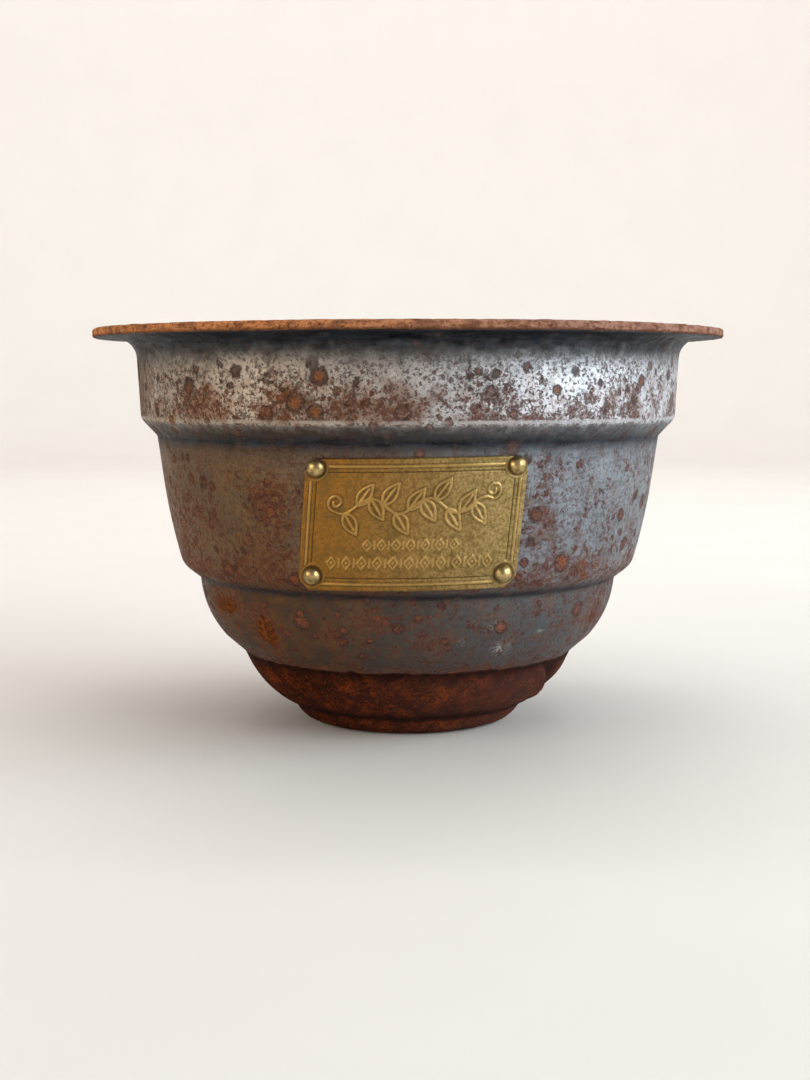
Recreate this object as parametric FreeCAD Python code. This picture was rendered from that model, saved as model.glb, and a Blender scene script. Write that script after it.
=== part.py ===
import FreeCAD, Part
import math
import os

# A stepped plant pot: a bowl with four tiers, a flat rim and a shallow foot, pressed from one steel sheet,
# and a brass nameplate held on its second tier by four round-head rivets.
# Millimetres, +Z up. The origin is the centre of the foot's underside, and the nameplate faces -Y.

# Driving dimensions of the shell
SHEET = 2.3
RIM_RADIUS = 80.0
HEIGHT = 100.0
RIM_EDGE_ROUND = 0.7
DRAIN_HOLE_RADIUS = 6.0
RIM_UNDERSIDE = HEIGHT - SHEET

# The second tier carries the nameplate, so its wall has names of its own: radius and height at its lower end,
# where it bulges, and at its upper end.
TIER_LOW = (58.4, 41.1)
TIER_MIDDLE = (61.7, 54.0)
TIER_HIGH = (64.3, 73.5)
TIER_BEND = 150.0

# The shell's outside from the drain hole to the rim: radius and height of each corner, and its bend radius
OUTSIDE = [
    (DRAIN_HOLE_RADIUS, 0.0, 0.0),
    (27.4, 0.0, 5.0),  # edge of the foot
    (29.9, 4.1, 0.8),  # crease above the foot
    (38.6, 8.5, 24.0),  # fourth tier, a round bowl
    (42.8, 18.2, 0.8),  # step
    (48.0, 22.8, 6.0),  # lower edge of the third tier
    (52.8, 29.1, 25.0),
    (53.9, 37.6, 1.0),  # step
    (*TIER_LOW, 5.0),
    (*TIER_MIDDLE, TIER_BEND),
    (*TIER_HIGH, 1.0),  # step
    (68.3, 77.8, 3.0),  # lower edge of the first tier
    (69.3, RIM_UNDERSIDE, 5.0),  # neck under the rim
    (RIM_RADIUS, RIM_UNDERSIDE, 0.0),
]

# Driving dimensions of the nameplate, laid flat: it leans like an italic letter and is turned a little
PLATE_WIDTH = 50.4
PLATE_HEIGHT = 30.1
PLATE_THICKNESS = 0.8
PLATE_LEAN = math.radians(6.0)
PLATE_TURN = math.radians(0.8)
PLATE_CENTRE = (0.9, 55.5)  # distance round the wall from its front line, and height
PLATE_CORNER_CUT = 2.7
PLATE_GAP = 0.02  # between the plate and the wall

# Rivets, each where it stands in the flat plate
RIVET_INSET_TOP = (2.7, 2.1)
RIVET_INSET_BOTTOM = (3.5, 3.5)
RIVET_HEAD_RADIUS = 2.15
RIVET_HEAD_HEIGHT = 1.9
RIVET_SHANK_RADIUS = 1.2
RIVET_TAIL_RADIUS = 1.9
RIVET_TAIL_HEIGHT = 1.0
RIVET_PLAY = 0.05  # round the shank
RIVET_TAIL_GAP = 0.12  # under the tail, which is flat where the wall is curved

AXIS = FreeCAD.Vector(0, 0, 1)
ORIGIN = FreeCAD.Vector(0, 0, 0)


def at(radius, height):
    """A point of a section that is drawn in the XZ plane."""
    return FreeCAD.Vector(radius, 0, height)


def unit(start, end):
    return (end - start).normalize()


def offset_corners(corners, distance):
    """The same path, moved to its left by distance. Left bends get tighter by it, and right bends wider."""
    points = [at(r, z) for r, z, _ in corners]
    ways = [unit(a, b) for a, b in zip(points, points[1:])]
    lefts = [FreeCAD.Vector(-w.z, 0, w.x) for w in ways]
    moved = [points[0] + lefts[0] * distance]
    for i in range(1, len(points) - 1):
        both = lefts[i - 1] + lefts[i]
        moved.append(points[i] + both * (distance / (1 + lefts[i - 1].dot(lefts[i]))))
    moved.append(points[-1] + lefts[-1] * distance)
    bends = [0.0]
    for i in range(1, len(points) - 1):
        turns_left = ways[i].dot(lefts[i - 1]) > 0
        bends.append(corners[i][2] - distance if turns_left else corners[i][2] + distance)
    bends.append(0.0)
    return [(p.x, p.z, bend) for p, bend in zip(moved, bends)]


def rounded_path(corners):
    """Edges through the corners, straight between them and an arc of the bend radius at each."""
    points = [at(r, z) for r, z, _ in corners]
    edges = []
    here = points[0]
    for before, corner, after, (_, _, bend) in zip(points, points[1:], points[2:], corners[1:]):
        back = unit(corner, before)
        ahead = unit(corner, after)
        half = back.getAngle(ahead) / 2
        start = corner + back * (bend / math.tan(half))
        end = corner + ahead * (bend / math.tan(half))
        middle = corner + (back + ahead).normalize() * (bend / math.sin(half) - bend)
        edges.append(Part.LineSegment(here, start).toShape())
        edges.append(Part.Arc(start, middle, end).toShape())
        here = end
    edges.append(Part.LineSegment(here, points[-1]).toShape())
    return edges


def section_between(inner, outer):
    """The face between two paths whose ends are side by side."""
    ends = [
        Part.LineSegment(at(*inner[0][:2]), at(*outer[0][:2])).toShape(),
        Part.LineSegment(at(*inner[-1][:2]), at(*outer[-1][:2])).toShape(),
    ]
    edges = Part.sortEdges(rounded_path(inner) + rounded_path(outer) + ends)[0]
    return Part.Face(Part.Wire(edges))


def straight_wall():
    """The second tier's wall carried on straight past both its ends, for what lies on it."""
    low = at(*TIER_LOW)
    middle = at(*TIER_MIDDLE)
    high = at(*TIER_HIGH)
    below = low + unit(middle, low) * PLATE_HEIGHT / 4
    above = high + unit(middle, high) * PLATE_HEIGHT / 4
    return [(below.x, below.z, 0.0), (*TIER_MIDDLE, TIER_BEND), (above.x, above.z, 0.0)]


def wall_point(height):
    """The radius of that wall at a height, and the angle by which its outward normal dips."""
    wall = Part.Wire(rounded_path(straight_wall()))
    level = Part.makeLine(at(0, height), at(RIM_RADIUS, height))
    hit = wall.distToShape(level)[1][0][0]
    edge = min(wall.Edges, key=lambda e: e.distToShape(Part.Vertex(hit))[0])
    way = edge.tangentAt(edge.Curve.parameter(hit))
    return hit.x, math.atan2(abs(way.x), abs(way.z))


def from_flat(across, up):
    """A point of the flat plate, measured from its centre, as distance round the wall and height."""
    leaning = across + up * math.tan(PLATE_LEAN)
    round_wall = leaning * math.cos(PLATE_TURN) - up * math.sin(PLATE_TURN)
    height = leaning * math.sin(PLATE_TURN) + up * math.cos(PLATE_TURN)
    return PLATE_CENTRE[0] + round_wall, PLATE_CENTRE[1] + height


def pot_shell():
    inside = offset_corners(OUTSIDE, SHEET)
    shell = section_between(inside, OUTSIDE).revolve(ORIGIN, AXIS, 360)
    circles = [e for e in shell.Edges if e.Curve.TypeId == "Part::GeomCircle"]
    rim = [e for e in circles if e.Curve.Radius > RIM_RADIUS - RIM_EDGE_ROUND]
    return shell.makeFillet(RIM_EDGE_ROUND, rim)


def nameplate():
    """A band of sheet round the second tier, cut to the plate's outline as seen from the front."""
    wall = straight_wall()
    inner = offset_corners(wall, -PLATE_GAP)
    outer = offset_corners(wall, -PLATE_GAP - PLATE_THICKNESS)
    half_angle = 0.7 * math.degrees(PLATE_WIDTH / TIER_LOW[0])
    band = section_between(inner, outer)
    band.rotate(ORIGIN, AXIS, -90 - half_angle)
    band = band.revolve(ORIGIN, AXIS, 2 * half_angle)
    w = PLATE_WIDTH / 2
    h = PLATE_HEIGHT / 2
    c = PLATE_CORNER_CUT
    right_side = [(w - c, h), (w, h - c), (w, c - h), (w - c, -h)]
    flat = right_side + [(-across, -up) for across, up in right_side]
    outline = []
    for across, up in flat:
        round_wall, height = from_flat(across, up)
        radius = wall_point(height)[0]
        outline.append(FreeCAD.Vector(radius * math.sin(round_wall / radius), -RIM_RADIUS, height))
    cutter = Part.Face(Part.makePolygon(outline + outline[:1])).extrude(FreeCAD.Vector(0, RIM_RADIUS, 0))
    return band.common(cutter).Solids[0]


def rivet_places():
    """Each rivet's name, the point on the plate's outside where its head sits, and its outward direction."""
    w = PLATE_WIDTH / 2
    h = PLATE_HEIGHT / 2
    places = {}
    for row, up, inset in (
        ("top", h - RIVET_INSET_TOP[1], RIVET_INSET_TOP[0]),
        ("bottom", RIVET_INSET_BOTTOM[1] - h, RIVET_INSET_BOTTOM[0]),
    ):
        for side, sign in (("left", -1), ("right", 1)):
            round_wall, height = from_flat(sign * (w - inset), up)
            radius, dip = wall_point(height)
            angle = round_wall / radius
            outward = FreeCAD.Vector(
                math.sin(angle) * math.cos(dip), -math.cos(angle) * math.cos(dip), -math.sin(dip)
            )
            wall = FreeCAD.Vector(radius * math.sin(angle), -radius * math.cos(angle), height)
            places[f"rivet_{row}_{side}"] = (wall + outward * (PLATE_GAP + PLATE_THICKNESS), outward)
    return places


def along(shape, point, direction):
    """Puts a shape that was made on +Z at the origin, at a point and along a direction."""
    shape.Placement = FreeCAD.Placement(point, FreeCAD.Rotation(AXIS, direction))
    return shape


def dome(base_radius, base_height, rise):
    """The arc of a ball's cap, from its rim to its top. A negative rise hangs it down."""
    ball = (base_radius**2 + rise**2) / (2 * abs(rise))
    half = math.atan2(base_radius, ball - abs(rise)) / 2
    side_rise = math.copysign(abs(rise) - ball + ball * math.cos(half), rise)
    side = at(ball * math.sin(half), base_height + side_rise)
    return Part.Arc(at(base_radius, base_height), side, at(0, base_height + rise)).toShape()


def rivet(point, outward):
    """A round head on the plate, a shank through plate and wall, and a tail set over inside the pot."""
    grip = PLATE_THICKNESS + PLATE_GAP + SHEET + RIVET_TAIL_GAP
    head_edge = at(RIVET_HEAD_RADIUS, 0)
    tail_edge = at(RIVET_TAIL_RADIUS, -grip)
    shank_top = at(RIVET_SHANK_RADIUS, 0)
    shank_end = at(RIVET_SHANK_RADIUS, -grip)
    edges = [
        dome(RIVET_HEAD_RADIUS, 0, RIVET_HEAD_HEIGHT),
        Part.LineSegment(head_edge, shank_top).toShape(),
        Part.LineSegment(shank_top, shank_end).toShape(),
        Part.LineSegment(shank_end, tail_edge).toShape(),
        dome(RIVET_TAIL_RADIUS, -grip, -RIVET_TAIL_HEIGHT),
        Part.LineSegment(at(0, -grip - RIVET_TAIL_HEIGHT), at(0, RIVET_HEAD_HEIGHT)).toShape(),
    ]
    edges = Part.sortEdges(edges)[0]
    solid = Part.Face(Part.Wire(edges)).revolve(ORIGIN, AXIS, 360)
    return along(solid, point, outward)


def rivet_hole(point, outward):
    reach = 3 * SHEET
    hole = Part.makeCylinder(RIVET_SHANK_RADIUS + RIVET_PLAY, 2 * reach, FreeCAD.Vector(0, 0, -reach))
    return along(hole, point, outward)


def main():
    places = rivet_places()
    shell = pot_shell()
    plate = nameplate()
    for point, outward in places.values():
        shell = shell.cut(rivet_hole(point, outward))
        plate = plate.cut(rivet_hole(point, outward))
    parts = {"pot_shell": shell, "nameplate": plate}
    for name, (point, outward) in places.items():
        parts[name] = rivet(point, outward)

    os.makedirs("parts", exist_ok=True)
    for name, shape in parts.items():
        solid = shape.Solids[0]
        solid.exportStep(f"parts/{name}.step")
        print(f"{name}: solids {len(shape.Solids)}, valid {solid.isValid()}, volume {solid.Volume:.1f} mm3")


main()
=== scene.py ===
import math

import bpy
import numpy as np
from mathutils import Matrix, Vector, noise


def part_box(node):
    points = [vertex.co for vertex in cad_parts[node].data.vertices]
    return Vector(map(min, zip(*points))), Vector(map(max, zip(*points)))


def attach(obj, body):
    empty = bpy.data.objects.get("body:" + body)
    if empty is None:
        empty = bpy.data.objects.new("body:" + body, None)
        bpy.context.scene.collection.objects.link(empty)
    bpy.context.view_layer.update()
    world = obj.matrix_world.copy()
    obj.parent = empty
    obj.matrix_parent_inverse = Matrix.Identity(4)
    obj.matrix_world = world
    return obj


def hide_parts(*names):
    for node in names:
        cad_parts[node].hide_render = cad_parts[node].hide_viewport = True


# A stepped plant pot of rusting pressed steel, with a brass nameplate held by four round-head rivets.
# The pot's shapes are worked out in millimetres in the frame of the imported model, and become metres in
# mesh_piece. The camera and the lights are placed in metres.
# The front is -Y. Azimuths are degrees round the pot from the front, and grow towards +X.

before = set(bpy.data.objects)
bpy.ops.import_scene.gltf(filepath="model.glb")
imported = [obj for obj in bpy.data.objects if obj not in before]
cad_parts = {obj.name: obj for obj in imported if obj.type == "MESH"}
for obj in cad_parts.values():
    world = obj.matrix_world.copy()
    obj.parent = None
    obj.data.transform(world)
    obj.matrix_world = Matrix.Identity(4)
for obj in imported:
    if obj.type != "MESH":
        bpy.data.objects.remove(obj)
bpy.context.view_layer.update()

MM = 0.001
_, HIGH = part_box("pot_shell")
RIM_RADIUS = HIGH.x / MM
HEIGHT = HIGH.z / MM

# Shell, as in part.py
SHEET = 2.3
DRAIN_HOLE_RADIUS = 6.0
RIM_UNDERSIDE = HEIGHT - SHEET
RIM_EDGE_ROUND = 0.7
HOLE_EDGE_ROUND = 0.3
TIER_LOW = (58.4, 41.1)
TIER_MIDDLE = (61.7, 54.0)
TIER_HIGH = (64.3, 73.5)
TIER_BEND = 150.0
# The outside from the foot to the rim: radius, height and bend radius of each corner
OUTSIDE = [
    (27.4, 0.0, 5.0),
    (29.9, 4.1, 0.8),
    (38.6, 8.5, 24.0),
    (42.8, 18.2, 0.8),
    (48.0, 22.8, 6.0),
    (52.8, 29.1, 25.0),
    (53.9, 37.6, 1.0),
    (*TIER_LOW, 5.0),
    (*TIER_MIDDLE, TIER_BEND),
    (*TIER_HIGH, 1.0),
    (68.3, 77.8, 3.0),
    (69.3, RIM_UNDERSIDE, 5.0),
]
RIM_FINE_FROM = 76.5  # radius past which the rim's rings are twice as fine
RING = 400  # points round the outside
OUTSIDE_SPACING = 1.15
INSIDE_SPACING = 2.2
FLOOR_SPACING = 3.0
RIM_SPACING = 0.5
ARC_STEP = math.radians(16.0)

# Nameplate, as in part.py
PLATE_WIDTH = 50.4
PLATE_HEIGHT = 30.1
PLATE_THICKNESS = 0.8
PLATE_LEAN = math.radians(6.0)
PLATE_TURN = math.radians(0.8)
PLATE_CENTRE = (0.9, 55.5)
PLATE_CORNER_CUT = 2.7
PLATE_GAP = 0.02
PLATE_GRID = (260, 156)  # cells across and up
PLATE_EDGE_ROUND = 0.35
BORDER_INSET = 1.75  # from the plate's edge to the middle of its raised border
GROOVE_INSET = 3.05
FIELD_INSET = 3.3
BOSS_RADIUS = 2.75  # of the ring round each rivet
DIAMOND_ROWS = [(-4.3, 9.5, 7, 1.7), (-8.4, 17.4, 11, 1.9)]  # height, half length, count and size

# Rivets, as in part.py
RIVET_INSET_TOP = (2.7, 2.1)
RIVET_INSET_BOTTOM = (3.5, 3.5)
RIVET_HEAD_RADIUS = 2.15
RIVET_HEAD_HEIGHT = 1.9
RIVET_SHANK_RADIUS = 1.2
RIVET_TAIL_RADIUS = 1.9
RIVET_TAIL_HEIGHT = 1.0
RIVET_TAIL_GAP = 0.12
RIVET_RING = 64


def smooth(value, low, high):
    """0 at low and 1 at high, with a smooth ramp between them."""
    t = np.clip((np.asarray(value, float) - low) / (high - low), 0, 1)
    return t * t * (3 - 2 * t)


def noise_at(points, size, seed, octaves=1):
    """Smooth noise of about -1 to 1 at each point, in lumps about size across."""
    shift = Vector((17.3, -9.1, 5.7)) * seed
    return np.array([noise.fractal(Vector(p) / size + shift, 1.0, 2.0, octaves) for p in points])


def mesh_piece(name, points, faces, nodes):
    """A smooth mesh from points in millimetres, riding on the one body and standing for CAD nodes."""
    mesh = bpy.data.meshes.new(name)
    mesh.from_pydata((np.asarray(points) * MM).tolist(), [], faces)
    mesh.shade_smooth()
    mesh.update()
    piece = bpy.data.objects.new(name, mesh)
    bpy.context.scene.collection.objects.link(piece)
    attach(piece, "root")
    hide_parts(*nodes)
    return piece


def paint(piece, name, channels):
    """Keeps up to four values a vertex with the mesh, for its material to read."""
    values = np.ones((len(piece.data.vertices), 4), np.float32)
    for column, channel in enumerate(channels):
        values[:, column] = channel
    layer = piece.data.color_attributes.new(name, "FLOAT_COLOR", "POINT")
    layer.data.foreach_set("color", values.ravel())


# ---------------------------------------------------------------- sections


def offset_corners(corners, distance):
    """The same path moved to its left. Left bends get tighter by the distance, and right bends wider."""
    points = np.array([c[:2] for c in corners], float)
    ways = np.diff(points, axis=0)
    ways /= np.linalg.norm(ways, axis=1)[:, None]
    lefts = np.stack([-ways[:, 1], ways[:, 0]], 1)
    moved = [(*(points[0] + lefts[0] * distance), 0.0)]
    for i in range(1, len(points) - 1):
        both = lefts[i - 1] + lefts[i]
        place = points[i] + both * distance / (1 + lefts[i - 1] @ lefts[i])
        turns_left = ways[i] @ lefts[i - 1] > 0
        moved.append((*place, corners[i][2] - distance if turns_left else corners[i][2] + distance))
    moved.append((*(points[-1] + lefts[-1] * distance), 0.0))
    return moved


def bend_points(before, corner, after, radius, spacing):
    """The arc that rounds a corner, from its start to its end."""
    if radius == 0:
        return [corner]
    back = (before - corner) / np.linalg.norm(before - corner)
    ahead = (after - corner) / np.linalg.norm(after - corner)
    half = math.acos(back @ ahead) / 2
    middle = (back + ahead) / np.linalg.norm(back + ahead)
    centre = corner + middle * radius / math.sin(half)
    spoke = corner + back * radius / math.tan(half) - centre
    turn = math.copysign(math.pi - 2 * half, ahead[0] * back[1] - ahead[1] * back[0])
    count = max(math.ceil(radius * abs(turn) / spacing), math.ceil(abs(turn) / ARC_STEP))
    points = []
    for angle in np.linspace(0, turn, count + 1):
        c, s = math.cos(angle), math.sin(angle)
        points.append(centre + np.array([spoke[0] * c - spoke[1] * s, spoke[0] * s + spoke[1] * c]))
    return points


def closed_section(corners):
    """Points round a closed section, and the number of points in each one's ring. A corner is its radius,
    height, bend radius, the spacing after it and the number of points in its rings."""
    places = [np.array(c[:2], float) for c in corners]
    arcs = []
    for i, corner in enumerate(corners):
        following = places[(i + 1) % len(places)]
        arcs.append(bend_points(places[i - 1], places[i], following, corner[2], corner[3]))
    points = []
    rings = []
    for i, (_, _, _, spacing, ring) in enumerate(corners):
        end = arcs[i][-1]
        run = arcs[(i + 1) % len(arcs)][0] - end
        count = max(1, math.ceil(np.linalg.norm(run) / spacing))
        straight = [end + run * k / count for k in range(1, count)]
        points += arcs[i] + straight
        rings += [ring] * (len(arcs[i]) + len(straight))
    return np.array(points), rings


def section_normals(points):
    """Outward directions along a closed section that goes round its material anticlockwise."""
    ahead = np.roll(points, -1, axis=0) - np.roll(points, 1, axis=0)
    outward = np.stack([ahead[:, 1], -ahead[:, 0]], 1)
    return outward / np.linalg.norm(outward, axis=1)[:, None]


def band(ring, following):
    """Faces between two rings of point numbers, which are alike or twice as fine as one another."""
    a = np.append(ring, ring[0])
    b = np.append(following, following[0])
    if len(a) == len(b):
        return [(a[j], a[j + 1], b[j + 1], b[j]) for j in range(len(ring))]
    faces = []
    for j in range(min(len(ring), len(following))):
        if len(b) > len(a):
            faces.append((a[j], a[j + 1], b[2 * j + 1]))
            faces.append((a[j], b[2 * j + 1], b[2 * j]))
            faces.append((a[j + 1], b[2 * j + 2], b[2 * j + 1]))
        else:
            faces.append((a[2 * j], a[2 * j + 1], b[j]))
            faces.append((a[2 * j + 1], b[j + 1], b[j]))
            faces.append((a[2 * j + 1], a[2 * j + 2], b[j + 1]))
    return faces


# ---------------------------------------------------------------- shell


def shell_corners():
    """The shell's closed section: outside, rim edge and inside."""
    start = (DRAIN_HOLE_RADIUS, 0.0, HOLE_EDGE_ROUND)
    path = [start] + OUTSIDE + [(RIM_RADIUS, RIM_UNDERSIDE, RIM_EDGE_ROUND)]
    inside = offset_corners(path, SHEET)
    hole_top = (*inside[0][:2], HOLE_EDGE_ROUND)
    rim_top = (*inside[-1][:2], RIM_EDGE_ROUND)
    corners = [(*start, FLOOR_SPACING, RING // 2)]
    corners += [(*c, OUTSIDE_SPACING, RING) for c in OUTSIDE]
    corners += [(RIM_FINE_FROM, RIM_UNDERSIDE, 0.0, RIM_SPACING, 2 * RING)]
    corners += [(*c, RIM_SPACING, 2 * RING) for c in (path[-1], rim_top)]
    corners += [(RIM_FINE_FROM, HEIGHT, 0.0, OUTSIDE_SPACING, RING)]
    corners += [(*c, INSIDE_SPACING, RING // 2) for c in reversed(inside[1:-1])]
    corners += [(*hole_top, FLOOR_SPACING, RING // 2)]
    return corners


def shell_points():
    """Every point of the smooth shell, its outward direction, and the rings of point numbers."""
    section, counts = closed_section(shell_corners())
    normals = section_normals(section)
    points, outward, rings = [], [], []
    start = 0
    for (radius, height), (out, up), count in zip(section, normals, counts):
        angle = np.arange(count) * 2 * math.pi / count
        side = np.stack([np.sin(angle), -np.cos(angle)], 1)
        points.append(np.column_stack([side * radius, np.full(count, height)]))
        outward.append(np.column_stack([side * out, np.full(count, up)]))
        rings.append(np.arange(start, start + count))
        start += count
    return np.concatenate(points), np.concatenate(outward), rings


def outside_share(points, outward):
    """1 on the outer surface and under the rim, 0 inside the pot and on top of the rim."""
    radius = np.hypot(points[:, 0], points[:, 1])
    facing_out = (outward[:, :2] * points[:, :2]).sum(1) / np.maximum(radius, 1)
    return smooth(facing_out - outward[:, 2], -0.1, 0.1)


# Wear and painted shade of the outside and the inside by height: each pair is a height and an amount
RUST_OUTSIDE = [(0, 1), (17.9, 1), (18.7, 0.45), (21, 0.22), (38, 0.2), (41, 0.42), (46, 0.22), (74, 0.1)]
RUST_OUTSIDE += [(77.5, 0.08), (79, 0.26), (84, 0.2), (92, 0)]
RUST_INSIDE = [(2, 0.95), (25, 0.7), (60, 0.5), (97, 0.45)]
FILM_OUTSIDE = [(20, 1), (39, 1), (42, 0.8), (74, 0.75), (78, 0.15), (92, 0.2)]
FILM_INSIDE = 0.8
# Soot: dark scale in the creases, and painted shade under each step, on the roll under the first tier and
# up under the rim
SOOT_AND_SHADE_OUTSIDE = [(0, 0.2), (3, 0), (4.4, 0.8), (5.4, 0.9), (7, 0.3), (13, 0.2), (16, 0.5), (18, 0.95)]
SOOT_AND_SHADE_OUTSIDE += [(19.2, 0.2), (36.5, 0.2), (38.2, 0.9), (40, 0.15), (66, 0.1), (71, 0.5), (73.4, 0.95)]
SOOT_AND_SHADE_OUTSIDE += [(75, 0.75), (77.4, 0.66), (78, -0.4), (82, 0), (88, 0.25), (91, 0.5), (94, 0.85)]
SOOT_AND_SHADE_OUTSIDE += [(97, 1.05)]
SPOTS_OUTSIDE = [(20, 0.55), (40, 0.6), (60, 0.45), (75, 0.4), (78, 1), (92, 0.8)]
SPOTS_INSIDE = 0.8
RIM_TOP_RUST = 0.8
RIM_EDGE_RUST = 0.95
RIM_EDGE_FROM = (79.2, 79.8)  # radii between which the rim's edge begins

# Where rust has gathered: azimuth and height of the middle, width in degrees, height in mm, and amount
RUST_PATCHES = [
    (-57, 33, 9, 3.5, 0.66),
    (-41, 28, 5, 5.5, 0.7),
    (-20, 29, 3, 3, 0.36),
    (-9, 32, 4, 2.5, 0.36),
    (8, 27, 4, 4, 0.34),
    (60, 30, 10, 5, 0.36),
    (-34, 46, 7, 4, 0.24),
    (40, 45, 12, 3, 0.22),
    (-62, 50, 12, 14, 0.22),
    (-31, 60, 5, 7, 0.3),
    (-17, 59, 3, 9, 0.24),
    (22, 58, 2.5, 8, 0.2),
    (29, 55, 3.5, 8, 0.18),
    (-43, 82, 10, 4, 0.24),
    (-24, 83, 6, 4.5, 0.3),
    (-6, 82, 7, 4, 0.36),
    (13, 81, 3, 2.5, 0.12),
    (46, 84, 10, 5, 0.13),
]
PATCHES_FROM = 19
# Small pale scuffs on the third tier, in the same terms
SCUFFS = [
    (23, 30.5, 1.8, 0.9, 0.9),
    (26, 25, 2.2, 1.6, 1.0),
    (37, 28.5, 0.9, 0.6, 0.8),
    (14, 27, 0.9, 0.5, 0.7),
]
# The fold at the lower right of the bowl: height and azimuth along it
FOLD_LINE = [(3, 84), (8, 66), (17, 50)]
FOLD_RISE = 1.0
DENT_DEPTH = 1.1


def at_height(z, pairs):
    """The amount at each height, from pairs of a height and an amount."""
    return np.interp(z, *zip(*pairs))


def patches(azimuth, z, places):
    """How much each point lies in patches, which are given as RUST_PATCHES is."""
    total = np.zeros(azimuth.shape)
    for centre, level, wide, high, amount in places:
        apart = ((azimuth - centre) / wide) ** 2 + ((z - level) / high) ** 2
        total = np.maximum(total, amount * np.exp(-apart))
    return total


def shell_wear_and_shade(points, outward):
    """How rusty, filmed over, sooty and spotted each point is, how far to the left, and how scuffed. The
    sooty share is partly dark scale and partly painted shade under the steps and the rim.
    """
    x, y, z = points.T
    radius = np.hypot(x, y)
    azimuth = np.degrees(np.arctan2(x, -y))
    outer = outside_share(points, outward)
    inner = 1 - outer
    # How far to the left, for colours that turn from right to left, partly as painted light
    left = smooth(-x, -42, 38)
    edge = smooth(radius, *RIM_EDGE_FROM)

    rust_outer = at_height(z, RUST_OUTSIDE) + patches(azimuth, z, RUST_PATCHES) * (z > PATCHES_FROM)
    rust = outer * rust_outer + inner * at_height(z, RUST_INSIDE)
    rust = np.maximum(rust, smooth(radius, 70, 76) * inner * RIM_TOP_RUST)
    rust = np.maximum(rust, edge * RIM_EDGE_RUST)

    film = outer * at_height(z, FILM_OUTSIDE) + inner * FILM_INSIDE
    # More film at the far left of the first tier: a painted dark reflection on that edge
    film += outer * smooth(-x, 58, 67) * smooth(z, 76, 79) * 0.5  # the far left of the first tier
    film = np.clip(film, 0, 1)

    # Painted shade under the steps and the rim, less of it on the raised fold and more in the dent behind
    # it: a painted highlight along the fold and painted shade in the dent
    soot = outer * (at_height(z, SOOT_AND_SHADE_OUTSIDE) - 0.6 * crease(points)) * (1 - edge)
    spots = outer * at_height(z, SPOTS_OUTSIDE) + inner * SPOTS_INSIDE
    return rust, film, soot, spots, left, outer * patches(azimuth, z, SCUFFS)


def near_plate(points):
    """1 where the nameplate covers the shell, falling to 0 a little way round it."""
    x, y, z = points.T
    across = np.hypot(x, y) * np.arctan2(x, -y) - PLATE_CENTRE[0]
    beside = smooth(PLATE_WIDTH / 2 + 8 - abs(across), 0, 5)
    level = smooth(PLATE_HEIGHT / 2 + 7 - abs(z - PLATE_CENTRE[1]), 0, 4)
    return beside * level * (y < 0)


def crease(points):
    """A raised fold that runs down the right of the bowl to the foot, and the shallow dent behind it."""
    x, y, z = points.T
    across = np.degrees(np.arctan2(x, -y)) - at_height(z, FOLD_LINE)
    round_wall = np.radians(across) * np.hypot(x, y)
    height = smooth(z, 2, 5) * smooth(-z, -18.5, -15)
    fold = FOLD_RISE * np.exp(-((round_wall / 1.3) ** 2))
    dent = DENT_DEPTH * np.exp(-(((round_wall - 5.5) / 4.2) ** 2))
    return height * (fold - dent)


def worn_points(points, outward, rust):
    """The points with the sheet's dents, the lumps of its rust and the scale on the rim's edge."""
    radius = np.hypot(points[:, 0], points[:, 1])
    side = points * [1, 1, 0] / radius[:, None]
    free = 1 - near_plate(points)
    dents = 0.22 * noise_at(points, 42, 1) + 0.05 * noise_at(points, 13, 2)
    moved = points + side * (dents * free * smooth(points[:, 2], 2, 12))[:, None]
    sag = 0.2 * noise_at(side * 30, 22, 3) * smooth(radius, 66, 80)
    moved[:, 2] += sag * (points[:, 2] > 90)
    moved += side * crease(points)[:, None]
    lumps = (0.02 + 0.1 * smooth(rust, 0.4, 0.9)) * noise_at(points, 2.6, 4, 2)
    edge = smooth(radius, RIM_RADIUS - 1.6, RIM_RADIUS - 0.4)
    lumps += edge * (0.16 * noise_at(points, 0.9, 5, 2) - 0.12)
    flat_foot = smooth(points[:, 2], 0.0, 0.5)
    return moved + outward * (lumps * free * flat_foot)[:, None]


def make_shell():
    points, outward, rings = shell_points()
    *wear_and_shade, left, scuff = shell_wear_and_shade(points, outward)
    faces = []
    for ring, following in zip(rings, rings[1:] + rings[:1]):
        faces += band(ring, following)
    shell = mesh_piece("steel_shell", worn_points(points, outward, wear_and_shade[0]), faces, ["pot_shell"])
    paint(shell, "wear_and_shade", wear_and_shade)
    paint(shell, "side", [left, scuff])
    return shell


# ---------------------------------------------------------------- nameplate


def plate_wall():
    """Radius, height and dip along the wall under the plate, carried on straight past both its ends."""
    middle = np.array(TIER_MIDDLE)
    ends = []
    for end in (np.array(TIER_LOW), np.array(TIER_HIGH)):
        ends.append(end + (end - middle) / np.linalg.norm(end - middle) * PLATE_HEIGHT / 4)
    arc = bend_points(ends[0], middle, ends[1], TIER_BEND, 0.2)
    path = np.array([ends[0], *arc, ends[1]])
    ways = np.gradient(path, axis=0)
    return path[:, 0], path[:, 1], np.arctan2(ways[:, 0], ways[:, 1])


def on_wall(round_wall, height, lift):
    """Points by distance round the wall, height and lift off it, and the wall's outward directions."""
    radii, heights, dips = plate_wall()
    radius = np.interp(height, heights, radii)
    dip = np.interp(height, heights, dips)
    angle = round_wall / radius
    out = np.stack([np.sin(angle) * np.cos(dip), -np.cos(angle) * np.cos(dip), -np.sin(dip)], -1)
    wall = np.stack([radius * np.sin(angle), -radius * np.cos(angle), height], -1)
    return wall + out * np.asarray(lift)[..., None], out


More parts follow.
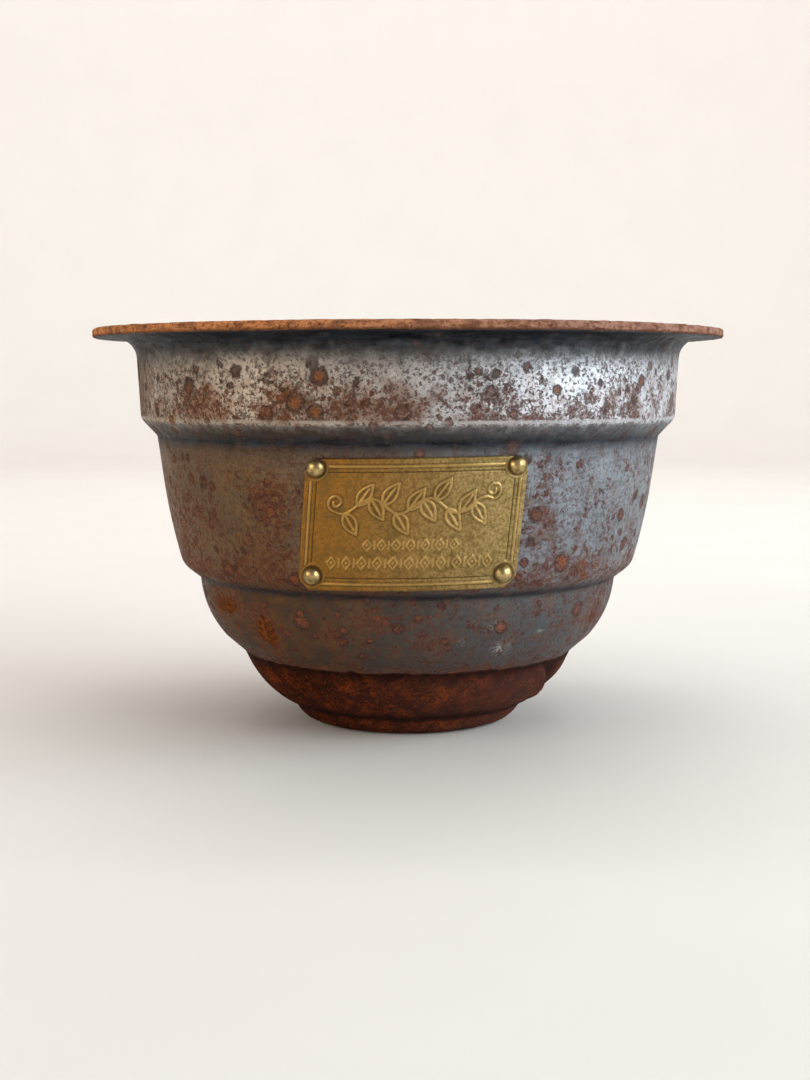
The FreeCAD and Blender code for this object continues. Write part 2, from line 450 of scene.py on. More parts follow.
def from_flat(across, up):
    """Points of the flat plate, as distance round the wall and height."""
    leaning = across + up * math.tan(PLATE_LEAN)
    round_wall = leaning * math.cos(PLATE_TURN) - up * math.sin(PLATE_TURN)
    height = leaning * math.sin(PLATE_TURN) + up * math.cos(PLATE_TURN)
    return PLATE_CENTRE[0] + round_wall, PLATE_CENTRE[1] + height


def rivet_spots():
    """Each rivet's node and its place in the flat plate."""
    w = PLATE_WIDTH / 2
    h = PLATE_HEIGHT / 2
    spots = {}
    for row, up, inset in (
        ("top", h - RIVET_INSET_TOP[1], RIVET_INSET_TOP[0]),
        ("bottom", RIVET_INSET_BOTTOM[1] - h, RIVET_INSET_BOTTOM[0]),
    ):
        for side, sign in (("left", -1), ("right", 1)):
            spots[f"rivet_{row}_{side}"] = (sign * (w - inset), up)
    return spots


def rivet_distance(across, up):
    """Distance from each point of the plate to the nearest rivet's middle."""
    return np.min([np.hypot(across - x, up - y) for x, y in rivet_spots().values()], axis=0)


def distance_to_line(across, up, line):
    """Distance from each point of the plate to a line of straight pieces."""
    nearest = np.full(across.shape, 1e9)
    for (x0, y0), (x1, y1) in zip(line, line[1:]):
        dx, dy = x1 - x0, y1 - y0
        t = np.clip(((across - x0) * dx + (up - y0) * dy) / max(dx * dx + dy * dy, 1e-9), 0, 1)
        nearest = np.minimum(nearest, np.hypot(across - x0 - t * dx, up - y0 - t * dy))
    return nearest


def raised(distance, half_width, soft=0.12):
    """1 on a line of that half width, falling softly to 0 beside it."""
    return 1 - smooth(distance, half_width - soft / 2, half_width + soft)


def edge_distance(across, up):
    """Distance in from the plate's outline, with its cut corners."""
    beside = PLATE_WIDTH / 2 - abs(across)
    level = PLATE_HEIGHT / 2 - abs(up)
    corner = (beside + level - PLATE_CORNER_CUT) / math.sqrt(2)
    return np.minimum(np.minimum(beside, level), corner)


def leaf(x, y, direction, length, width):
    """The outline of a pointed leaf that grows from a point, and its midrib."""
    t = np.linspace(0, 1, 15)
    half = width / 2 * np.sin(math.pi * t**0.8)
    c, s = math.cos(direction), math.sin(direction)
    out = np.concatenate([np.stack([t * length, half], 1), np.stack([t * length, -half], 1)[::-1]])
    rib = np.array([(0, 0), (0.78 * length, 0)])
    turned = np.array([[c, s], [-s, c]])
    return out @ turned + (x, y), rib @ turned + (x, y)


def vine():
    """A wavy stem across the plate's upper field, with leaves on both sides and a curl at each end."""
    middle, swing, pace, reach = 4.5, 1.7, 0.5, 17.3
    x = np.linspace(-reach, reach, 90)
    stem = np.stack([x, middle + swing * np.sin(x * pace)], 1)
    lines = [stem]
    for i, start in enumerate(np.linspace(-15.2, 13.0, 11)):
        side = 1 if i % 2 else -1
        lines += leaf(start, middle + swing * math.sin(start * pace), side * math.radians(57), 5.6, 2.8)
    for end, sign in ((stem[0], -1), (stem[-1], 1)):
        t = np.linspace(0, 2.6 * math.pi, 40)
        r = 2.0 * (1 - t / t[-1] * 0.75)
        curl = np.stack([end[0] + sign * r * np.sin(t), end[1] + r[0] - r * np.cos(t)], 1)
        lines.append(curl)
    return lines


def diamond_rows(across, up):
    """1 on two rows of diamonds with bars between them, under the vine."""
    rows = np.zeros(across.shape)
    for y, half, count, size in DIAMOND_ROWS:
        gap = 2 * half / (count - 1)
        for x in np.linspace(-half, half, count):
            diamond = abs(across - x) / (0.4 * gap) + abs(up - y) / size
            rows = np.maximum(rows, raised(abs(diamond - 0.74), 0.17, 0.1))
            rows = np.maximum(rows, raised(diamond, 0.26, 0.1))
        for x in np.linspace(-half + gap / 2, half - gap / 2, count - 1):
            rows = np.maximum(rows, raised(abs(across - x), 0.2, 0.1) * (abs(up - y) < size * 0.6))
    return rows


def plate_relief(across, up):
    """Height of the plate's face over its plain sheet, and how light it is painted: polished and
    highlighted on the relief, dirty and shaded in the groove and beside the relief.
    """
    edge = edge_distance(across, up)
    rivets = rivet_distance(across, up)
    clear = smooth(rivets, 2.9, 3.3)
    line = raised(abs(edge - BORDER_INSET), 0.28) * clear
    groove = raised(abs(edge - GROOVE_INSET), 0.1) * clear
    boss = raised(abs(rivets - BOSS_RADIUS), 0.15)
    stems = np.full(across.shape, np.inf)
    for path in vine():
        stems = np.minimum(stems, distance_to_line(across, up, path))
    scroll = raised(stems, 0.24)
    pattern = np.maximum(scroll, diamond_rows(across, up)) * (edge > FIELD_INSET)
    relief = 0.24 * line - 0.16 * groove + 0.12 * boss + 0.24 * pattern
    beside_line = raised(abs(edge - BORDER_INSET), 0.5, 0.4) * clear - line
    shadow = np.maximum(raised(stems, 0.5, 0.5) - scroll, beside_line)
    # Lighter on the relief as polish with a painted highlight; darker in the dirty, shaded groove and in
    # the painted shadow beside the relief
    polish_dirt_and_shade = 0.5 + 0.5 * np.maximum.reduce([line, pattern, 0.6 * boss])
    polish_dirt_and_shade -= 0.4 * groove + 0.3 * np.maximum(shadow, 0)
    return relief, np.clip(polish_dirt_and_shade, 0, 1)


def plate_lift(across, up, relief):
    """Height of the plate's face over the wall, with rounded edges."""
    inset = np.clip(edge_distance(across, up), 0, PLATE_EDGE_ROUND)
    fall = PLATE_EDGE_ROUND - np.sqrt(np.maximum(PLATE_EDGE_ROUND**2 - (PLATE_EDGE_ROUND - inset) ** 2, 0))
    return PLATE_GAP + PLATE_THICKNESS + relief - fall


def make_nameplate():
    cells_across, cells_up = PLATE_GRID
    share = np.linspace(-1, 1, cells_across + 1)
    up = np.linspace(-1, 1, cells_up + 1)[:, None] * PLATE_HEIGHT / 2 * np.ones_like(share)
    half = np.minimum(PLATE_WIDTH / 2, PLATE_WIDTH / 2 - PLATE_CORNER_CUT + PLATE_HEIGHT / 2 - abs(up))
    across = share * half
    relief, polish_dirt_and_shade = plate_relief(across, up)
    round_wall, height = from_flat(across, up)
    front, _ = on_wall(round_wall, height, plate_lift(across, up, relief))
    back, _ = on_wall(round_wall, height, np.full(across.shape, PLATE_GAP))
    count = across.size
    numbers = np.arange(count).reshape(across.shape)
    faces = []
    for row, above in zip(numbers, numbers[1:]):
        for a, b, c, d in zip(row, row[1:], above[1:], above):
            faces += [(a, b, c, d), (count + a, count + d, count + c, count + b)]
    rim = [*numbers[0, :-1], *numbers[:-1, -1], *numbers[-1, :0:-1], *numbers[:0:-1, 0]]
    for a, b in zip(rim, rim[1:] + rim[:1]):
        faces.append((a, count + a, count + b, b))
    points = np.concatenate([front.reshape(-1, 3), back.reshape(-1, 3)])
    points[:count] += 0.012 * noise_at(points[:count], 1.1, 6, 2)[:, None] * [0, -1, 0]
    plate = mesh_piece("brass_nameplate", points, faces, ["nameplate"])
    # Darker round each rivet head: grime and painted shade where the head meets the plate
    rivet_grime_and_shade = np.exp(-np.maximum(rivet_distance(across, up) - RIVET_HEAD_RADIUS, 0) / 0.5)
    paint(plate, "relief", [np.tile(polish_dirt_and_shade.ravel(), 2), np.tile(rivet_grime_and_shade.ravel(), 2)])
    return plate


# ---------------------------------------------------------------- rivets


def cap_section(base_radius, base_height, rise, count=14):
    """Points of a ball's cap from its edge to its top, without the top."""
    ball = (base_radius**2 + rise**2) / (2 * abs(rise))
    edge = math.atan2(base_radius, ball - abs(rise))
    angles = np.linspace(edge, 0, count, endpoint=False)
    height = base_height + np.copysign(abs(rise) - ball + ball * np.cos(angles), rise)
    return np.stack([ball * np.sin(angles), height], 1)


def make_rivet(name, spot, seed):
    """A round head, its shank through plate and wall, and the tail set over inside the pot."""
    grip = PLATE_THICKNESS + PLATE_GAP + SHEET + RIVET_TAIL_GAP
    skirt = 0.12  # straight part under the dome
    head = cap_section(RIVET_HEAD_RADIUS, skirt, RIVET_HEAD_HEIGHT - skirt)[::-1]
    under = [(RIVET_HEAD_RADIUS, 0.0), (RIVET_SHANK_RADIUS, 0.0), (RIVET_SHANK_RADIUS, -grip)]
    section = np.concatenate([head, under, cap_section(RIVET_TAIL_RADIUS, -grip, -RIVET_TAIL_HEIGHT)])
    angle = np.arange(RIVET_RING) * 2 * math.pi / RIVET_RING
    local = [[(r * math.cos(a), r * math.sin(a), z) for a in angle] for r, z in section]
    local = np.array(local).reshape(-1, 3)
    local = np.concatenate([local, [(0, 0, RIVET_HEAD_HEIGHT), (0, 0, -grip - RIVET_TAIL_HEIGHT)]])
    local += local * (0.012 * noise_at(local, 1.2, seed, 2))[:, None]
    numbers = np.arange(len(section) * RIVET_RING).reshape(len(section), RIVET_RING)
    faces = []
    for ring, following in zip(numbers, numbers[1:]):
        faces += band(following, ring)
    top, bottom = numbers.size, numbers.size + 1
    first, last = numbers[0], numbers[-1]
    for j in range(RIVET_RING):
        faces.append((first[j], first[(j + 1) % RIVET_RING], top))
        faces.append((last[(j + 1) % RIVET_RING], last[j], bottom))
    round_wall, height = from_flat(*spot)
    base, outward = on_wall(np.float64(round_wall), np.float64(height), PLATE_GAP + PLATE_THICKNESS)
    turn = Vector(outward).to_track_quat("Z", "Y").to_matrix()
    points = local @ np.array(turn).T + base
    return mesh_piece(name.replace("rivet", "brass_rivet"), points, faces, [name])


# ---------------------------------------------------------------- materials


def colour(red, green, blue):
    """A scene-linear colour from ordinary 0 to 255 screen values."""
    def linear(value):
        value /= 255
        return value / 12.92 if value <= 0.04045 else ((value + 0.055) / 1.055) ** 2.4

    return (linear(red), linear(green), linear(blue), 1.0)


class Shading:
    """A material's nodes under short names. Each call adds a node and returns the socket to read."""

    def __init__(self, name):
        self.material = bpy.data.materials.new(name)
        self.material.use_nodes = True
        self.tree = self.material.node_tree
        self.shader = self.tree.nodes["Principled BSDF"]

    def put(self, socket, value):
        if isinstance(value, bpy.types.NodeSocket):
            self.tree.links.new(value, socket)
        else:
            socket.default_value = value

    def node(self, kind, inputs, **settings):
        made = self.tree.nodes.new(kind)
        for setting, value in settings.items():
            setattr(made, setting, value)
        for socket, value in inputs.items():
            self.put(made.inputs[socket], value)
        return made

    def place(self):
        """The point in millimetres."""
        source = self.node("ShaderNodeTexCoord", {}).outputs["Object"]
        return self.vector("MULTIPLY", source, (1 / MM,) * 3)

    def vector(self, operation, a, b):
        return self.node("ShaderNodeVectorMath", {0: a, 1: b}, operation=operation).outputs[0]

    def math(self, operation, a, b=0.0, c=0.0):
        return self.node("ShaderNodeMath", {0: a, 1: b, 2: c}, operation=operation).outputs[0]

    def times(self, a, b):
        return self.math("MULTIPLY", a, b)

    def plus(self, a, b):
        return self.math("ADD", a, b)

    def most(self, a, b):
        return self.math("MAXIMUM", a, b)

    def scaled(self, value, factor, added):
        return self.math("MULTIPLY_ADD", value, factor, added)

    def set(self, name, value):
        """Gives the shader's input of that name a value or a socket."""
        self.put(self.shader.inputs[name], value)

    def parts(self, vector):
        return self.node("ShaderNodeSeparateXYZ", {0: vector}).outputs

    def painted(self, name):
        source = self.node("ShaderNodeAttribute", {}, attribute_name=name)
        split = self.node("ShaderNodeSeparateColor", {0: source.outputs["Color"]}).outputs
        return split[0], split[1], split[2], source.outputs["Alpha"]

    def ramp(self, value, low, high, start=0.0, end=1.0):
        """A smooth change from start to end as the value goes from low to high."""
        inputs = {"Value": value, "From Min": low, "From Max": high, "To Min": start, "To Max": end}
        return self.node("ShaderNodeMapRange", inputs, interpolation_type="SMOOTHSTEP").outputs[0]

    def noise(self, where, size, detail=2.0, rough=0.5, output=0):
        """Noise of 0 to 1 in lumps of about size millimetres."""
        inputs = {"Vector": where, "Scale": 1 / size, "Detail": detail, "Roughness": rough}
        return self.node("ShaderNodeTexNoise", inputs).outputs[output]

    def cells(self, where, size):
        """Distance from the nearest of scattered points, in cell sizes, and two random numbers for it."""
        made = self.node("ShaderNodeTexVoronoi", {"Vector": where, "Scale": 1 / size})
        chance = self.node("ShaderNodeSeparateColor", {0: made.outputs["Color"]}).outputs
        return made.outputs["Distance"], chance[0], chance[1]

    def mix(self, share, a, b):
        """Colours a and b mixed."""
        made = self.node("ShaderNodeMix", {}, data_type="RGBA")
        self.put(made.inputs[0], share)
        self.put(made.inputs[6], a)
        self.put(made.inputs[7], b)
        return made.outputs[2]

    def blend(self, share, a, b):
        """Numbers a and b mixed."""
        made = self.node("ShaderNodeMix", {}, data_type="FLOAT")
        self.put(made.inputs[0], share)
        self.put(made.inputs[2], a)
        self.put(made.inputs[3], b)
        return made.outputs[0]

    def shift(self, where, size, amount):
        """The point moved about at random, which roughens outlines."""
        wobble = self.noise(where, size, 2.0, 0.5, output=1)
        centred = self.vector("SUBTRACT", wobble, (0.5, 0.5, 0.5))
        return self.vector("ADD", where, self.vector("MULTIPLY", centred, (amount,) * 3))

    def bump(self, height, depth):
        """A bump of that depth in millimetres where the height goes from 0 to 1."""
        inputs = {"Height": height, "Distance": depth * MM, "Strength": 1.0}
        return self.node("ShaderNodeBump", inputs).outputs[0]


class Steel(Shading):
    """The shell's material, with what its layers share: the rust, film, sootiness, spots and painted shade
    kept with the mesh, the place and some noises.
    """

    def __init__(self, name):
        super().__init__(name)
        self.mm = self.place()
        self.level = self.parts(self.mm)[2]
        self.rust_share, self.film_share, self.soot_share, self.spot_share = self.painted("wear_and_shade")
        self.left, self.scuff, _, _ = self.painted("side")
        self.ragged = self.shift(self.mm, 0.9, 1.5)
        self.patchy = self.noise(self.mm, 9.0, 3.0, 0.6)
        self.fine = self.noise(self.ragged, 0.62, 3.0, 0.7)
        self.wide = self.noise(self.mm, 6.0, 5.0, 0.6)
        self.grain = self.noise(self.mm, 0.9, 6.0, 0.78)
        self.flecks = self.ramp(self.noise(self.ragged, 0.7, 4.0, 0.7), 0.56, 0.68)
        self.rolled = self.noise(self.drawn_out(0.12, 1.0), 0.9, 3.0, 0.6)

    def drawn_out(self, around, upward):
        """The point with its distances scaled, which draws a noise out round the wall or down it."""
        return self.vector("MULTIPLY", self.mm, (around, around, upward))

    def sided_colour_and_light(self, right, left):
        """One colour at the pot's right that turns into another at its left: partly the steel's own colour
        and partly painted light, cool and bright on the right under the window lamp, warm and dim on the
        left.
        """
        return self.mix(self.left, colour(*right), colour(*left))

    def under_film(self):
        """Satin metal with soft streaks down the wall, and the dull film over it: how much film there is,
        the metal's colour and the film's. Rust stains both where it gathers."""
        streak = self.noise(self.drawn_out(1.0, 0.25), 5.0, 4.0, 0.6)
        # Cooler and brighter on the right, warmer and darker on the left, for the metal and the film:
        # partly painted light from the cool window and the warm lamp
        cool_bare = self.mix(streak, colour(178, 182, 188), colour(214, 216, 220))
        warm_bare = self.mix(streak, colour(150, 138, 126), colour(198, 186, 172))
        bare = self.mix(self.left, cool_bare, warm_bare)

        # Painted shade: the film is darker from the second step down, standing for shade and a dark
        # reflection on the lower tiers, which face a little downward
        low = self.ramp(self.level, 42.0, 38.0)
        cool_film = self.mix(streak, colour(107, 114, 122), colour(152, 157, 163))
        cool_film = self.mix(self.times(low, 0.72), cool_film, colour(64, 68, 68))
        warm_film = self.mix(streak, colour(92, 70, 46), colour(126, 102, 74))
        warm_film = self.mix(self.times(low, 0.75), warm_film, colour(56, 44, 27))
        film_colour = self.mix(self.left, cool_film, warm_film)
        dust = self.ramp(self.noise(self.mm, 0.9, 5.0, 0.75), 0.44, 0.62, 0.0, 0.36)
        film_colour = self.mix(dust, film_colour, self.sided_colour_and_light((76, 72, 74), (72, 48, 34)))

        stain_noise = self.scaled(self.rust_share, 0.7, self.noise(self.mm, 5.0, 5.0, 0.6))
        stain = self.ramp(stain_noise, 0.58, 0.86, 0.0, 0.62)
        bare = self.mix(self.times(stain, 1.3), bare, self.sided_colour_and_light((130, 108, 102), (134, 98, 74)))
        film_colour = self.mix(stain, film_colour, self.sided_colour_and_light((108, 82, 70), (118, 76, 38)))
        lines = self.ramp(self.rolled, 0.5, 0.66, 0.0, 0.3)
        film_colour = self.mix(lines, film_colour, colour(70, 70, 72))
        scuffed = self.times(self.scuff, self.ramp(self.noise(self.mm, 0.6, 3.0), 0.4, 0.6))
        film_colour = self.mix(scuffed, film_colour, colour(176, 182, 180))
        film = self.ramp(self.plus(self.noise(self.mm, 4.0, 6.0, 0.7), self.film_share), 0.65, 1.1)
        return film, bare, film_colour

    def scale(self):
        """Dark scale in the steps and the neck, and painted shade under each step and under the rim: how
        much, and its colour.
        """
        soot_and_shade_noise = self.scaled(self.noise(self.mm, 3.0, 4.0, 0.6), 0.4, self.soot_share)
        black = self.mix(self.ramp(self.rolled, 0.3, 0.7), colour(12, 17, 22), colour(46, 54, 64))
        return self.ramp(soot_and_shade_noise, 0.4, 1.25), black

    def pitting(self):
        """Fine dark pits in patches, and the larger speckles of rust."""
        pit_level = self.scaled(self.spot_share, 0.08, self.times(self.patchy, 0.34))
        pits = self.ramp(self.plus(self.fine, pit_level), 0.74, 0.86, 0.0, 0.8)
        distance, chance, _ = self.cells(self.ragged, 0.95)
        radius = self.scaled(self.patchy, 0.6, self.scaled(chance, 0.4, -0.16))
        dots = self.ramp(self.math("SUBTRACT", radius, distance), -0.08, 0.06)
        speckle_noise = self.scaled(self.patchy, 0.3, self.noise(self.ragged, 1.3, 4.0, 0.65))
        speckle_noise = self.scaled(self.rust_share, 0.26, speckle_noise)
        return self.most(pits, dots), self.ramp(speckle_noise, 0.755, 0.8)

    def round_spots(self, size, density, offset):
        """Round spots scattered in cells of that size, of mixed radii, with a share of them missing. Gives
        the spots, their outlines and their centres."""
        moved = self.vector("ADD", self.ragged, (offset, -offset, offset / 2))
        distance, chance, luck = self.cells(moved, size)
        present = self.math("LESS_THAN", luck, density)
        radius = self.times(present, self.scaled(chance, 0.3, 0.14))
        inward = self.math("SUBTRACT", radius, distance)
        outline = self.ramp(self.math("ABSOLUTE", self.math("SUBTRACT", inward, 0.03)), 0.07, 0.02)
        return self.ramp(inward, -0.06, 0.06), outline, self.ramp(inward, 0.12, 0.26)

    def spotting(self, film):
        """Blotches and round spots of rust, dark-edged and some of them orange in the middle: how much,
        and their colour."""
        blotch_noise = self.plus(self.noise(self.ragged, 2.0, 5.0, 0.66), self.times(self.patchy, 0.3))
        blotch_noise = self.plus(blotch_noise, self.times(self.rust_share, 0.26))
        blotch = self.ramp(blotch_noise, 0.78, 0.83)
        large, large_edge, large_core = self.round_spots(6.0, self.times(self.spot_share, 0.42), 0.0)
        small, small_edge, small_core = self.round_spots(3.4, self.times(self.spot_share, 0.5), 31.0)
        fresh = self.ramp(self.noise(self.mm, 5.0, 4.0), 0.36, 0.6)
        core = self.times(self.most(large_core, small_core), fresh)

        mottle = self.ramp(self.fine, 0.4, 0.6)
        # Greyer and paler on the right, browner and darker on the left: partly painted light, as on the
        # film
        right_brown = self.mix(mottle, colour(82, 64, 64), colour(138, 118, 116))
        left_brown = self.mix(mottle, colour(70, 42, 28), colour(128, 86, 58))
        maroon = self.mix(mottle, colour(58, 28, 22), colour(116, 66, 48))
        tint = self.mix(self.times(film, 0.8), self.mix(self.left, right_brown, left_brown), maroon)
        # Painted shade: spots darker up the first tier, where the rim shades it
        high = self.ramp(self.level, 84.5, 87.5)
        tint = self.mix(self.times(high, 0.75), tint, colour(46, 40, 38))
        orange = self.ramp(self.noise(self.ragged, 4.0, 3.0, 0.6), 0.52, 0.64)
        orange = self.times(orange, self.ramp(self.rust_share, 0.15, 0.6))
        tint = self.mix(self.times(orange, 0.7), tint, colour(140, 80, 34))
        tint = self.mix(self.times(core, 0.8), tint, colour(146, 82, 38))
        crumbs = self.ramp(self.noise(self.mm, 0.5, 3.0, 0.7), 0.48, 0.6, 0.0, 0.7)
        tint = self.mix(crumbs, tint, colour(58, 34, 26))
        outline = self.most(large_edge, small_edge)
        tint = self.mix(self.times(outline, 0.75), tint, colour(50, 34, 28))
        return self.most(self.most(large, small), blotch), tint

    def rim_rust(self):
        """The colour of the rim's rust, which is paler, with painted shade on its lower edge."""
        tint = self.sided_colour_and_light((162, 122, 104), (204, 136, 86))
        streak = self.noise(self.drawn_out(0.3, 1.0), 1.0, 5.0, 0.7)
        tint = self.mix(self.ramp(streak, 0.46, 0.62, 0.0, 0.75), tint, colour(116, 70, 46))
        tint = self.mix(self.ramp(self.grain, 0.5, 0.62, 0.0, 0.8), tint, colour(72, 44, 34))
        tint = self.mix(self.ramp(self.wide, 0.48, 0.6, 0.0, 0.6), tint, colour(104, 68, 54))
        # Painted shade on the rim's lower edge
        return self.mix(self.ramp(self.level, 98.6, 97.9, 0.0, 0.7), tint, colour(76, 46, 34))

    def crust(self):
        """Rust that covers the steel: how much, and its colour, which is dark at the foot, partly as
        painted shade, loose and orange above it and paler at the rim."""
        edge_noise = self.scaled(self.noise(self.mm, 1.6, 3.0), 0.35, self.wide)
        heavy = self.ramp(self.plus(edge_noise, self.rust_share), 1.28, 1.4)
        # Dark rust at the foot, made darker as painted shade
        tint = self.mix(self.ramp(self.grain, 0.4, 0.6), colour(22, 6, 4), colour(98, 38, 8))
        glow = self.ramp(self.noise(self.mm, 5.0, 5.0, 0.65), 0.46, 0.62, 0.0, 0.7)
        tint = self.mix(self.times(glow, self.ramp(self.grain, 0.4, 0.55)), tint, colour(136, 60, 12))
        tint = self.mix(self.ramp(self.wide, 0.44, 0.62, 0.0, 0.85), tint, colour(42, 12, 7))
        tint = self.mix(self.times(self.flecks, 0.6), tint, colour(172, 88, 30))
        orange = self.mix(self.ramp(self.grain, 0.42, 0.58), colour(74, 40, 20), colour(138, 80, 34))
        tint = self.mix(self.ramp(self.level, 19.0, 21.0, 0.0, 0.7), tint, orange)
        tint = self.mix(self.ramp(self.level, 95.5, 97.5), tint, self.rim_rust())
        # Paler, greyer rust low on the right: partly painted light from the window on that side
        lower_right = self.times(self.math("SUBTRACT", 1.0, self.left), self.ramp(self.level, 22.0, 18.0))
        return heavy, self.mix(self.times(lower_right, 0.45), tint, colour(96, 66, 58))

    def worn_edge_and_highlight(self):
        """How much pale metal is painted along the lower edge of the first tier: partly worn bare metal
        and partly a painted highlight on the roll's top edge.
        """
        line = self.times(self.ramp(self.level, 77.6, 78.0), self.ramp(self.level, 78.8, 78.3, 0.0, 0.8))
        return self.times(line, self.ramp(self.patchy, 0.36, 0.6))


def rusted_steel():
    shade = Steel("rusted_steel")
    film, bare, film_colour = shade.under_film()
    soot, black = shade.scale()
    pits, speckles = shade.pitting()
    spotted, spot_colour = shade.spotting(film)
    heavy, crust_colour = shade.crust()

    tint = shade.mix(film, bare, film_colour)
    # Dark scale, with painted shade under the steps and the rim
    tint = shade.mix(soot, tint, black)
    pit_strength = shade.times(shade.blend(film, 0.8, 0.42), shade.blend(soot, 1.0, 0.3))
    tint = shade.mix(shade.times(pits, pit_strength), tint, colour(68, 54, 48))
    speckle_strength = shade.blend(soot, shade.blend(film, 0.8, 0.7), 0.12)
    speckle_colour = shade.sided_colour_and_light((92, 56, 50), (92, 48, 28))
    tint = shade.mix(shade.times(speckles, speckle_strength), tint, speckle_colour)
    tint = shade.mix(shade.times(spotted, shade.blend(soot, 0.92, 0.3)), tint, spot_colour)
    # Pale line of worn metal and painted highlight along the first tier's lower edge
    tint = shade.mix(shade.worn_edge_and_highlight(), tint, shade.sided_colour_and_light((186, 186, 190), (176, 162, 144)))
    tint = shade.mix(heavy, tint, crust_colour)
    # Darkest where painted shade falls on heavy rust, in the crease over the foot and under the third tier
    tint = shade.mix(shade.times(shade.times(soot, heavy), 0.85), tint, colour(20, 9, 7))
    shade.set("Base Color", tint)
    shade.set("Specular IOR Level", shade.blend(heavy, 0.2, 0.05))

    covered = shade.most(shade.most(heavy, spotted), shade.times(pits, 0.5))
    covered = shade.most(covered, shade.times(speckles, 0.8))
    shade.set("Metallic", shade.blend(covered, shade.blend(film, 0.95, 0.75), 0.05))
    satin = shade.ramp(shade.noise(shade.mm, 3.0, 4.0, 0.6), 0.3, 0.7, 0.44, 0.58)
    shade.set("Roughness", shade.blend(covered, shade.blend(film, satin, 0.5), 0.82))

    crusty = shade.times(heavy, shade.scaled(shade.flecks, 0.5, shade.grain))
    height = shade.scaled(spotted, 0.3, crusty)
    height = shade.math("SUBTRACT", height, shade.times(pits, 0.25))
    height = shade.scaled(shade.fine, 0.2, height)
    shade.set("Normal", shade.bump(height, 0.26))
    return shade.material


def aged_brass():
    shade = Shading("aged_brass")
    mm = shade.place()
    polish_dirt_and_shade, rivet_grime_and_shade, _, _ = shade.painted("relief")
    # Painted light: the plate is paler and cooler towards its right, where the window lamp falls
    right_light = shade.ramp(shade.parts(mm)[0], -22.0, 26.0)
    base = shade.mix(right_light, colour(150, 103, 38), colour(166, 146, 96))
    mottled = shade.noise(mm, 0.7, 5.0, 0.7)
    base = shade.mix(shade.ramp(mottled, 0.42, 0.62, 0.0, 0.7), base, colour(116, 84, 38))
    patina = shade.ramp(shade.noise(mm, 4.0, 6.0, 0.65), 0.46, 0.66, 0.0, 0.6)
    base = shade.mix(patina, base, colour(104, 84, 46))
    specks = shade.ramp(shade.noise(mm, 0.5, 2.0), 0.66, 0.74, 0.0, 0.6)
    base = shade.mix(specks, base, colour(70, 50, 26))
    # Darker in the groove, in the painted shadow beside the relief, and round each rivet head with grime
    # and painted shade
    dirt_and_shade = shade.plus(shade.ramp(polish_dirt_and_shade, 0.45, 0.1), shade.times(rivet_grime_and_shade, 0.8))
    base = shade.mix(shade.math("MINIMUM", dirt_and_shade, 0.85), base, colour(62, 46, 24))
    # Paler on the relief: polish, with a painted highlight
    polish_and_highlight = shade.ramp(polish_dirt_and_shade, 0.6, 1.0)
    base = shade.mix(shade.times(polish_and_highlight, 0.38), base, colour(206, 170, 100))
    shade.set("Base Color", base)
    shade.set("Metallic", 0.85)
    shade.set("Roughness", shade.blend(polish_and_highlight, shade.ramp(mottled, 0.3, 0.7, 0.42, 0.58), 0.34))
    height = shade.plus(mottled, shade.times(shade.noise(mm, 0.4, 2.0), 0.5))
    shade.set("Normal", shade.bump(height, 0.05))
    return shade.material


def rivet_brass():
    shade = Shading("rivet_brass")
    mm = shade.place()
    cloud = shade.noise(mm, 1.2, 4.0, 0.6)
    base = shade.mix(shade.ramp(cloud, 0.35, 0.65), colour(190, 166, 114), colour(132, 110, 70))
    shade.set("Base Color", base)
    shade.set("Metallic", 0.95)
    shade.set("Roughness", shade.ramp(cloud, 0.3, 0.7, 0.26, 0.4))
    shade.set("Normal", shade.bump(shade.noise(mm, 0.5, 3.0), 0.03))
    return shade.material


def stage_paint():
    shade = Shading("stage_paint")
    mm = shade.place()
    cloud = shade.noise(mm, 60.0, 3.0, 0.5)
    shade.set("Base Color", shade.mix(cloud, colour(214, 210, 205), colour(220, 216, 211)))
    shade.set("Roughness", 0.75)
    return shade.material


# ---------------------------------------------------------------- camera, stage and lights


def make_camera():
    data = bpy.data.cameras.new("camera")
    data.lens = 49.8
    data.sensor_width = 36.0
    camera = bpy.data.objects.new("camera", data)
    camera.location = (-0.0007, -0.39, 0.0869)
    looking_down = 0.1053
    camera.rotation_euler = (math.pi / 2 - looking_down, 0.0, 0.0)
    bpy.context.scene.collection.objects.link(camera)
    bpy.context.scene.camera = camera


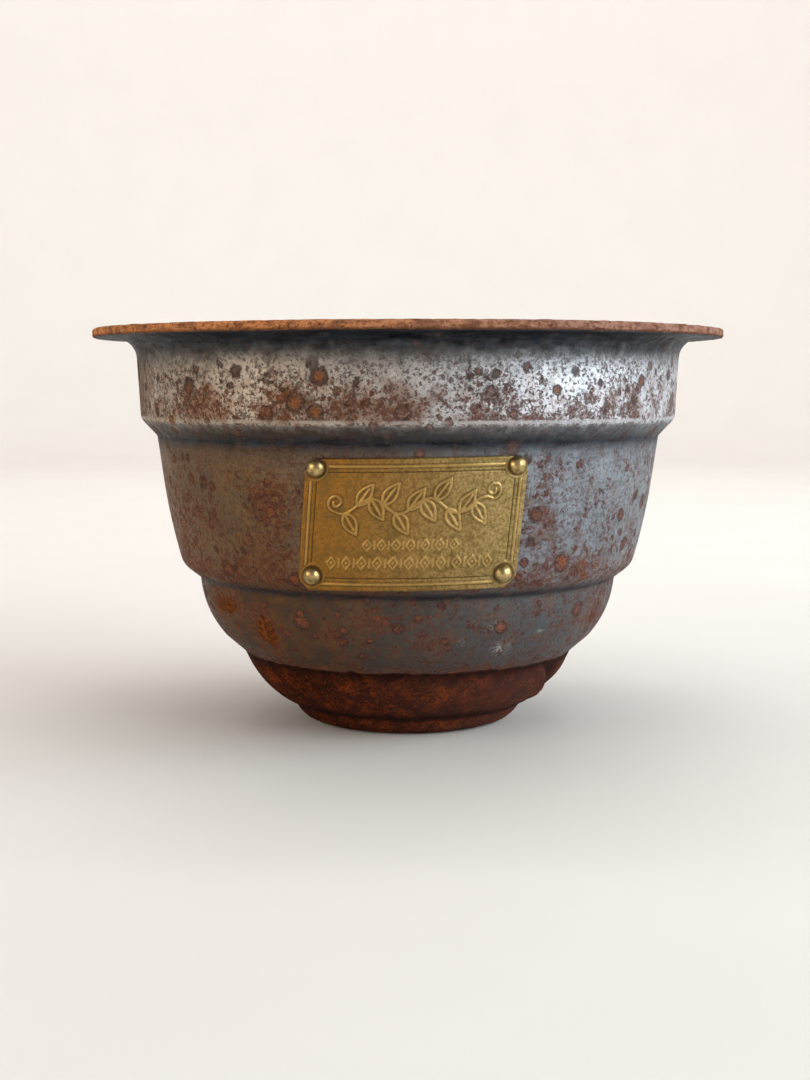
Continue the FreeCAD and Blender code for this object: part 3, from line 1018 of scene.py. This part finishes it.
def make_stage():
    """A pale round floor that curves up into a wall all round, so that it has no edge from any side."""
    flat, bend, top = 1300.0, 500.0, 1500.0
    curve = np.linspace(0, math.pi / 2, 17)
    below = -0.1  # just under the foot, so that the two faces don't share a plane
    section = [(r, below) for r in np.linspace(0, flat, 14)[1:-1]]
    section += [(flat + bend * math.sin(a), below + bend - bend * math.cos(a)) for a in curve]
    section += [(flat + bend, top)]
    ring = 96
    angle = np.arange(ring) * 2 * math.pi / ring
    points = [(r * math.sin(a), -r * math.cos(a), z) for r, z in section for a in angle] + [(0, 0, below)]
    numbers = np.arange(len(section) * ring).reshape(len(section), ring)
    faces = [(numbers[0][j], numbers[0][(j + 1) % ring], len(points) - 1) for j in range(ring)]
    for inner, outer in zip(numbers, numbers[1:]):
        faces += band(outer, inner)
    mesh = bpy.data.meshes.new("stage_floor")
    mesh.from_pydata((np.array(points) * MM).tolist(), [], faces)
    mesh.shade_smooth()
    floor = bpy.data.objects.new("stage_floor", mesh)
    floor.data.materials.append(stage_paint())
    bpy.context.scene.collection.objects.link(floor)


def softbox(name, place, target, size, watts, tint):
    data = bpy.data.lights.new(name, "AREA")
    data.shape = "RECTANGLE"
    data.size, data.size_y = size
    data.energy = watts
    data.color = tint
    light = bpy.data.objects.new(name, data)
    light.location = place
    light.rotation_euler = (Vector(target) - Vector(place)).to_track_quat("-Z", "Y").to_euler()
    light.visible_camera = False
    bpy.context.scene.collection.objects.link(light)


def make_lights():
    pot = (0.0, 0.0, 0.06)
    softbox("window_right", (0.95, -0.36, 0.46), pot, (1.3, 0.72), 15.2, (0.86, 0.94, 1.0))
    softbox("lamp_left", (-0.8, -0.5, 0.34), pot, (0.7, 0.6), 3.6, (1.0, 0.88, 0.74))
    softbox("ceiling", (0.0, 0.1, 1.2), pot, (1.2, 1.2), 6.0, (1.0, 0.98, 0.95))
    softbox("wall_wash", (0.0, 0.55, 1.3), (0.0, 1.8, 0.35), (1.6, 0.4), 16.0, (1.0, 0.97, 0.94))
    world = bpy.data.worlds.new("room")
    world.use_nodes = True
    background = world.node_tree.nodes["Background"]
    background.inputs["Color"].default_value = (0.95, 0.96, 1.0, 1.0)
    background.inputs["Strength"].default_value = 0.35
    bpy.context.scene.world = world
    bpy.context.scene.view_settings.view_transform = "Standard"


def make_pot():
    shell = make_shell()
    shell.data.materials.append(rusted_steel())
    plate = make_nameplate()
    plate.data.materials.append(aged_brass())
    metal = rivet_brass()
    for seed, (name, spot) in enumerate(rivet_spots().items(), start=10):
        rivet = make_rivet(name, spot, seed)
        rivet.data.materials.append(metal)


make_camera()
make_stage()
make_lights()
make_pot()
